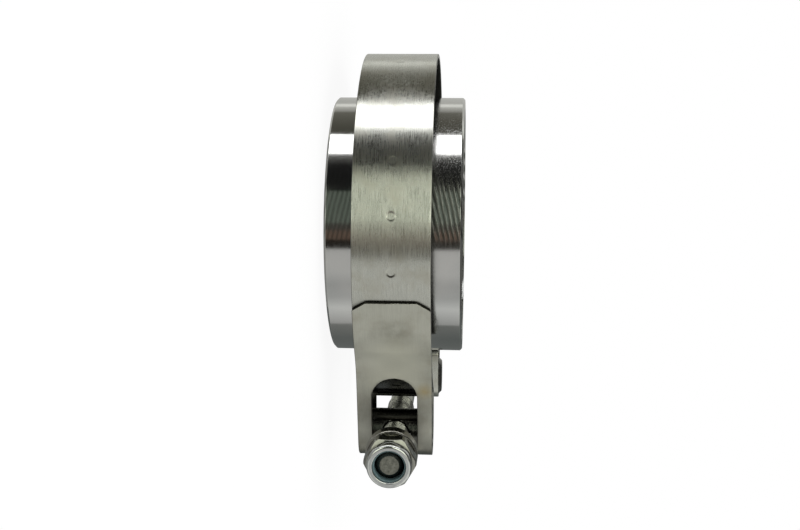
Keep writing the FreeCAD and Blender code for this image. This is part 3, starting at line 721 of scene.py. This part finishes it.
def cut(obj, cutter):
    """Cut a drawn mesh out of a piece for good."""
    data = bpy.data.meshes.new("Cutter")
    cutter.transform(Matrix.Scale(MM, 4))
    cutter.to_mesh(data)
    cutter.free()
    tool = bpy.data.objects.new("Cutter", data)
    bpy.context.scene.collection.objects.link(tool)
    modifier = obj.modifiers.new("Cut", "BOOLEAN")
    modifier.object = tool
    modifier.solver = "EXACT"
    graph = bpy.context.evaluated_depsgraph_get()
    result = bpy.data.meshes.new_from_object(obj.evaluated_get(graph))
    obj.modifiers.clear()
    obj.data = result
    bpy.data.objects.remove(tool)
    result.shade_smooth()
    result.set_sharp_from_angle(angle=math.radians(30))


def cross_pin(node, edge, end_round, side_round):
    """A round pin along +Z as long as its node, with cut and rounded edges."""
    low, high = span(node, "z")
    half = (high - low) / 2
    return lathe(rounded([
        (0, -half, 0), (PIN - edge, -half, end_round), (PIN, -half + edge, side_round),
        (PIN, half - edge, side_round), (PIN - edge, half, end_round), (0, half, 0),
    ]), 128)


def make_trunnion(material):
    """Cross pin of the nut-side loop, slotted outward for the bolt."""
    place = Matrix.Translation((LOOP_X, -LOOP_Y, MIDDLE))
    obj = piece("Trunnion", cross_pin("trunnion", 0.5, 0.12, 0.2), "clamp",
                material, ["trunnion"], place)
    slot = THREAD + 0.3
    arch = [(PIN + 2, -slot)]
    for k in range(33):
        angle = math.radians(270 - 180 * k / 32)
        arch.append((slot * math.cos(angle), slot * math.sin(angle)))
    arch.append((PIN + 2, slot))
    cutter = drawn_prism(arch, PIN + 2)
    cutter.transform(place)
    cut(obj, cutter)
    soften(obj, 0.22, 35)


def thread_radius(angle, z, end):
    """Radius of the bolt's right-hand thread at an angle and a height."""
    root_flat, flank = 0.12, 0.7  # shares of half a pitch
    phase = (z / PITCH - angle / (2 * math.pi)) % 1.0
    tooth = abs(2 * phase - 1)
    height = min(1.0, max(0.0, (tooth - root_flat) / flank))
    root = THREAD - THREAD_DEPTH
    run_in = min(1.0, max(0.0, (z - THREAD_START) / PITCH))
    threaded = root + (THREAD - root) * height
    radius = SHANK + (threaded - SHANK) * run_in
    return min(radius, THREAD - max(0.0, z - (end - BOLT_CHAMFER)))


def draw_thread(end):
    """The thread from its start to the bolt's end, which has the second material."""
    mesh = bmesh.new()
    lines = mesh.loops.layers.uv.new("Lines")
    steps, per_pitch = 72, 12
    count = math.ceil((end - THREAD_START) / PITCH * per_pitch)
    rise = (end - THREAD_START) / count
    arc = 2 * math.pi * THREAD / steps
    heights = [THREAD_START + (end - THREAD_START) * k / count for k in range(count + 1)]
    rings = []
    for z in heights:
        ring = []
        for k in range(steps):
            angle = 2 * math.pi * k / steps
            radius = thread_radius(angle, z, end)
            ring.append(mesh.verts.new((radius * math.cos(angle), radius * math.sin(angle), z)))
        rings.append(ring)
    for low, high, z in zip(rings, rings[1:], heights):
        for k in range(steps):
            after = (k + 1) % steps
            face = mesh.faces.new((low[k], low[after], high[after], high[k]))
            near, far = arc * k, arc * (k + 1)
            places = (near, z), (far, z), (far, z + rise), (near, z + rise)
            for loop, place in zip(face.loops, places):
                loop[lines].uv = place
    mesh.faces.new(rings[-1]).material_index = 1
    mesh.faces.new(list(reversed(rings[0])))
    return mesh


def make_t_bolt(shank_material, thread_material, bar_material, end_material):
    """T-bolt: crowned cross bar, rolled shank and its thread."""
    bar = cross_pin("t_bolt", 1, 0.5, 0.6)
    bar.transform(Matrix.Translation((LOOP_X, LOOP_Y, MIDDLE)))
    even_shading(piece("T_bar", bar, "bolt", bar_material, ["t_bolt"]))

    foot, shoulder = SHANK + 1.2, SHANK + 1.1
    neck = lathe(rounded([
        (0, PIN - 2, 0), (foot, PIN - 2, 0), (shoulder, PIN - 0.2, 0.5),
        (SHANK, PIN + 1.1, 0.8), (SHANK, THREAD_START, 0), (0, THREAD_START, 0),
    ]), 96)
    even_shading(piece("Bolt_shank", neck, "bolt", shank_material, [], BOLT_LINE))

    thread = piece("Bolt_thread", draw_thread(along_bolt("t_bolt")[1]), "bolt",
                   thread_material, [], BOLT_LINE, sharp=40)
    thread.data.materials.append(end_material)


def make_collar(material):
    """Round collar behind the nut."""
    start, end = along_bolt("collar")
    radius = (span("collar", "x")[1] - span("collar", "x")[0]) / 2
    bore, edge = THREAD + 0.1, 0.4
    outline = rounded([
        (bore, start, 0.3), (radius - edge, start, 0.1), (radius, start + edge, 0.15),
        (radius, end - edge, 0.15), (radius - edge, end, 0.1), (bore, end, 0.3),
    ])
    even_shading(piece(
        "Collar", lathe(outline, 160), "collar", material, ["collar"], BOLT_LINE))


def draw_hexagon(start, flats, hexagon):
    """The nut's hexagon from start, with worn corners turned down at both faces."""
    worn, inset, slope = 7.2, 0.5, math.tan(math.radians(30))
    lead_in, lead_out = 0.6, 1.0
    step_round, step_along = 0.28, 2.0  # spacing of the tool lines' coordinates on the nut
    top = start + hexagon
    mesh = bmesh.new()
    lines = mesh.loops.layers.uv.new("Lines")
    steps = 144
    rings = []
    for k in range(steps):
        angle = 2 * math.pi * k / steps
        away = (angle + math.pi / 6) % (math.pi / 3) - math.pi / 6
        corner = min(flats / math.cos(away), worn)
        drop = (corner - flats + inset) * slope
        column = [
            (NUT_BORE + lead_in, start), (flats - inset, start), (corner, start + drop),
            (corner, top - drop), (flats - inset, top), (NUT_BORE + lead_out, top),
            (NUT_BORE, top - lead_out), (NUT_BORE, start + lead_in),
        ]
        rings.append([
            mesh.verts.new((r * math.cos(angle), r * math.sin(angle), z)) for r, z in column
        ])
    for k in range(steps):
        this, after = rings[k], rings[(k + 1) % steps]
        for j in range(len(this)):
            beyond = (j + 1) % len(this)
            face = mesh.faces.new((this[j], after[j], after[beyond], this[beyond]))
            places = (k, j), (k + 1, j), (k + 1, j + 1), (k, j + 1)
            for loop, (around, along) in zip(face.loops, places):
                loop[lines].uv = (around * step_round, along * step_along)
    bmesh.ops.recalc_face_normals(mesh, faces=mesh.faces)
    return mesh


def make_lock_nut(material, rolled_material):
    """Hexagon with turned corners, and the rolled collar that holds the nylon."""
    start, end = along_bolt("lock_nut")
    flats, hexagon = 6.5, 5.1
    soften(piece("Lock_nut", draw_hexagon(start, flats, hexagon), "nut", material,
                 ["lock_nut"], BOLT_LINE), 0.14)

    seat, mouth, outside = 10.32 / 2, 9.0 / 2, 12.2 / 2
    foot, under_lip = start + hexagon - 1.4, end - 0.6
    outline = rounded([
        (seat, foot, 0), (outside, foot, 0), (outside, end, 1.3), (mouth, end, 0.3),
        (mouth, under_lip, 0.25), (seat, under_lip, 0.1),
    ], 8)
    even_shading(piece("Nut_rolled_collar", lathe(outline, 144), "nut",
                       rolled_material, [], BOLT_LINE))


def make_insert(material):
    """Nylon locking ring held in the nut."""
    start, end = along_bolt("nylon_insert")
    outside = 5.15
    outline = rounded([
        (NUT_BORE, start, 0.1), (outside, start, 0.1), (outside, end, 0.1), (NUT_BORE, end, 0.2),
    ])
    even_shading(piece(
        "Nylon_ring", lathe(outline, 128), "nut", material, ["nylon_insert"], BOLT_LINE))


# Studio ----------------------------------------------------------------------------------

# The photographer looked across the ring's axis, with the gap hanging down.
TURN = math.radians(9.3)
INTO = Vector((math.sin(TURN), math.cos(TURN), 0))
UP = Vector((-math.cos(TURN), math.sin(TURN), 0))
RIGHT = Vector((0, 0, 1))


def place_camera():
    """The camera at the photograph's place, turned and rolled as it was."""
    yaw, pitch, roll = (math.radians(a) for a in (-3.641, 2.048, 0.672))
    away, aside = 350.0, 41.0
    forward = (
        RIGHT * math.sin(yaw) * math.cos(pitch) + INTO * math.cos(yaw) * math.cos(pitch)
        - UP * math.sin(pitch)
    )
    level = RIGHT * math.cos(yaw) - INTO * math.sin(yaw)
    above = level.cross(forward)
    x = math.cos(roll) * level + math.sin(roll) * above
    y = math.cos(roll) * above - math.sin(roll) * level
    data = bpy.data.cameras.new("Camera")
    data.sensor_width, data.lens, data.clip_start = 36.0, 51.72, 0.01
    camera = bpy.data.objects.new("Camera", data)
    turned = Matrix((x, y, -forward)).transposed().to_4x4()
    camera.matrix_world = Matrix.Translation((RIGHT * aside - INTO * away) * MM) @ turned
    bpy.context.scene.collection.objects.link(camera)
    bpy.context.scene.camera = camera


def toward(rise):
    """Direction across the ring's axis at a rise in degrees, from the camera upward."""
    return UP * math.sin(math.radians(rise)) - INTO * math.cos(math.radians(rise))


PLAIN = 0.6  # strength of the world's light on the object
PAPER = 0.15  # how much of that light the floor gives back
CARD_REACH = 1.6  # half the length of the cards along the ring's axis
INNER = (-0.4, 0.14)  # ends of the middle row of cards, where the side rows begin


def light_path_white(tree):
    """1 for camera, glossy and transmission rays, 0 for the rest."""
    path = tree.nodes.new("ShaderNodeLightPath")
    total = path.outputs["Is Camera Ray"]
    for name in ("Is Glossy Ray", "Is Transmission Ray"):
        either = tree.nodes.new("ShaderNodeMath")
        either.operation = "MAXIMUM"
        tree.links.new(total, either.inputs[0])
        tree.links.new(path.outputs[name], either.inputs[1])
        total = either.outputs[0]
    return total


def make_world():
    """White surroundings that light the object at a plain level."""
    world = bpy.data.worlds.new("Studio")
    bpy.context.scene.world = world
    world.use_nodes = True
    tree = world.node_tree
    back = tree.nodes["Background"]
    back.inputs["Color"].default_value = (1, 1, 1, 1)
    level = tree.nodes.new("ShaderNodeMapRange")
    level.inputs["To Min"].default_value = PLAIN
    level.inputs["To Max"].default_value = 1.0
    tree.links.new(light_path_white(tree), level.inputs["Value"])
    tree.links.new(level.outputs[0], back.inputs["Strength"])


def make_floor():
    """Pale floor under the lower flange that keeps the object's shadow."""
    mesh = bmesh.new()
    bmesh.ops.create_circle(mesh, cap_ends=True, radius=3.0, segments=96)
    data = bpy.data.meshes.new("Floor")
    mesh.to_mesh(data)
    mesh.free()
    floor = bpy.data.objects.new("Floor", data)
    just_below = 0.02 * MM
    floor.location.z = -just_below
    bpy.context.scene.collection.objects.link(floor)
    material = bpy.data.materials.new("Floor_paper")
    material.use_nodes = True
    tree = material.node_tree
    tree.nodes.remove(tree.nodes["Principled BSDF"])
    paper = tree.nodes.new("ShaderNodeBsdfDiffuse")
    paper.inputs["Color"].default_value = (PAPER, PAPER, PAPER, 1)
    glow = tree.nodes.new("ShaderNodeEmission")
    share = tree.nodes.new("ShaderNodeMath")
    share.operation = "MULTIPLY"
    share.inputs[1].default_value = 1 - PAPER * PLAIN
    tree.links.new(light_path_white(tree), share.inputs[0])
    tree.links.new(share.outputs[0], glow.inputs["Strength"])
    both = tree.nodes.new("ShaderNodeAddShader")
    tree.links.new(paper.outputs[0], both.inputs[0])
    tree.links.new(glow.outputs[0], both.inputs[1])
    tree.links.new(both.outputs[0], tree.nodes["Material Output"].inputs["Surface"])
    data.materials.append(material)
    floor.visible_glossy = False


def show_to_reflections(name, mesh, colour, far_colour=None):
    """Make a drawn mesh a glowing card that only reflections see, graded where it has shades."""
    data = bpy.data.meshes.new(name)
    mesh.to_mesh(data)
    mesh.free()
    card = bpy.data.objects.new(name, data)
    bpy.context.scene.collection.objects.link(card)
    material = bpy.data.materials.new(name)
    material.use_nodes = True
    tree = material.node_tree
    tree.nodes.remove(tree.nodes["Principled BSDF"])
    glow = tree.nodes.new("ShaderNodeEmission")
    glow.inputs["Color"].default_value = (*colour, 1)
    tree.links.new(glow.outputs[0], tree.nodes["Material Output"].inputs["Surface"])
    if far_colour:
        shade = tree.nodes.new("ShaderNodeAttribute")
        shade.attribute_name = "Shade"
        tree.links.new(shade.outputs["Color"], glow.inputs["Color"])
    data.materials.append(material)
    card.visible_camera = False
    card.visible_diffuse = False
    card.visible_shadow = False
    card.visible_transmission = False


def make_card(name, low, high, colour, left=-CARD_REACH, right=CARD_REACH, far_colour=None):
    """A card curved round the ring's axis between two rises, shading evenly into a far colour."""
    distance = 1.5
    mesh = bmesh.new()
    shade = mesh.verts.layers.float_color.new("Shade")
    steps = max(2, math.ceil((high - low) / 4))
    pairs = []
    for k in range(steps + 1):
        way = toward(low + (high - low) * k / steps) * distance
        pair = [mesh.verts.new(way + RIGHT * z) for z in (left, right)]
        for vert in pair:
            vert[shade] = (*Vector(colour).lerp(Vector(far_colour or colour), k / steps), 1)
        pairs.append(pair)
    for a, b in zip(pairs, pairs[1:]):
        mesh.faces.new((a[0], a[1], b[1], b[0]))
    show_to_reflections(name, mesh, colour, far_colour)


def make_end(name, place, colour):
    """A round card across the ring's axis."""
    mesh = bmesh.new()
    bmesh.ops.create_circle(mesh, cap_ends=True, radius=1.5, segments=64)
    mesh.transform(Matrix.Translation(RIGHT * place))
    show_to_reflections(name, mesh, colour)


def make_lamp(name, rise, size, level):
    """A softbox facing the object, of a height and width in metres and a plain brightness."""
    distance = 1.2
    data = bpy.data.lights.new(name, "AREA")
    data.shape = "RECTANGLE"
    data.size, data.size_y = size
    data.energy = level * math.pi * size[0] * size[1]
    lamp = bpy.data.objects.new(name, data)
    place = toward(rise) * distance
    back = place.normalized()
    side = RIGHT.cross(back).normalized()
    x = side.cross(back) * -1
    lamp.matrix_world = Matrix.Translation(place) @ Matrix((x, side, back)).transposed().to_4x4()
    lamp.visible_camera = False
    bpy.context.scene.collection.objects.link(lamp)


def make_studio():
    """Softbox above the camera, dark studio round it and the pale table in front."""
    studio, soft_black = (0.13, 0.14, 0.135), (0.012, 0.012, 0.012)
    make_lamp("Softbox", 73.95, (1.8, 0.445), 1.95)
    make_card("Card_behind", -180, -125, studio)
    make_card("Card_under", -125, -101, studio, *INNER, far_colour=(0.2, 0.205, 0.195))
    table = (-101, 0.4), (-80, 0.68), (-68, 0.47), (-55, 0.42), (-44, 0.5), (-22, 0.48)
    for k, ((low, glow), (high, far_glow)) in enumerate(zip(table, table[1:])):
        make_card(f"Card_table_{k}", low, high, (glow, glow, 0.97 * glow), *INNER,
                  far_colour=(far_glow, far_glow, 0.97 * far_glow))
    make_card("Card_table_edge", -22, -14, (0.012, 0.01, 0.008), *INNER)
    make_card("Card_brown", -14, -6, (0.12, 0.082, 0.062), *INNER)
    make_card("Card_low", -6, 0, (0.06, 0.055, 0.048), *INNER)
    make_card("Card_room", 0, 28, (0.12, 0.14, 0.115), *INNER)
    make_card("Card_dark", 28, 52, soft_black, *INNER)
    make_card("Card_spill", 52, 63, soft_black, *INNER, far_colour=(0.12, 0.12, 0.11))
    for side, near, far, more in (
        ("left", -CARD_REACH, INNER[0], 1.0), ("right", INNER[1], CARD_REACH, 1.15),
    ):
        under, pale = (0.26, 0.27, 0.25), (0.66, 0.66, 0.62)
        for name, low, high, glow in (
            ("table", -97, -22, pale), ("edge", -22, -8, (0.33, 0.32, 0.28)),
            ("under", -125, -104, under), ("low", -8, 0, (0.85, 0.85, 0.72)),
            ("room", 0, 34, (1.38, 1.42, 1.2)), ("dark", 34, 63, (0.09, 0.09, 0.08)),
        ):
            make_card(f"Card_{name}_{side}", low, high, [more * c for c in glow], near, far)
        make_card(f"Card_fade_{side}", -104, -97, under, near, far,
                  far_colour=[more * c for c in pale])
    make_card("Card_olive", 84.5, 118, (0.06, 0.058, 0.044), far_colour=(0.17, 0.165, 0.14))
    make_card("Card_fade", 118, 129, (0.3, 0.295, 0.27), far_colour=(0.6, 0.6, 0.56))
    make_card("Card_line", 129, 136, (0.9, 0.9, 0.85))
    make_card("Card_pale", 136, 180, (0.52, 0.52, 0.49))
    make_end("End_right", CARD_REACH, (0.11, 0.11, 0.105))
    make_end("End_left", -CARD_REACH, (0.3, 0.3, 0.29))


# Scene -----------------------------------------------------------------------------------

bpy.context.scene.view_settings.view_transform = "Standard"
place_camera()
make_world()
make_floor()
make_studio()

_, starts, strap_length = strap_line()
make_band(band_finish(strap_length, starts[3]), sheared_finish())
make_flanges(turned_finish("Flange_steel", 0.5),
             turned_finish("Flange_steel_marked", 1.0, speckled=True))
make_retainers(pressed_finish())
make_trunnion(machined_finish("Pin_steel", (0.22, 0.22, 0.2), 0.16, 0.002))
make_t_bolt(machined_finish("Bolt_steel", (0.56, 0.57, 0.53), 0.32, 0.0008, 0.45),
            machined_finish("Thread_steel", (0.5, 0.5, 0.46), 0.26, 0.0012, 0.95),
            machined_finish("Bar_steel", (0.19, 0.19, 0.175), 0.26, 0.004),
            machined_finish("Bolt_end_steel", (0.34, 0.345, 0.3), 0.34, 0.03, mottle=0.6))
make_collar(machined_finish("Collar_steel", (0.42, 0.41, 0.37), 0.14, 0.002))
# The hexagon's steel is a darker copy of the rolled collar's, as painted shade.
make_lock_nut(machined_finish("Nut_steel_painted_shade", (0.36, 0.36, 0.33), 0.1, 0.004),
              machined_finish("Nut_rolled_steel", (0.68, 0.7, 0.69), 0.1, 0.002))
make_insert(nylon_finish())

bpy.context.view_layer.update()
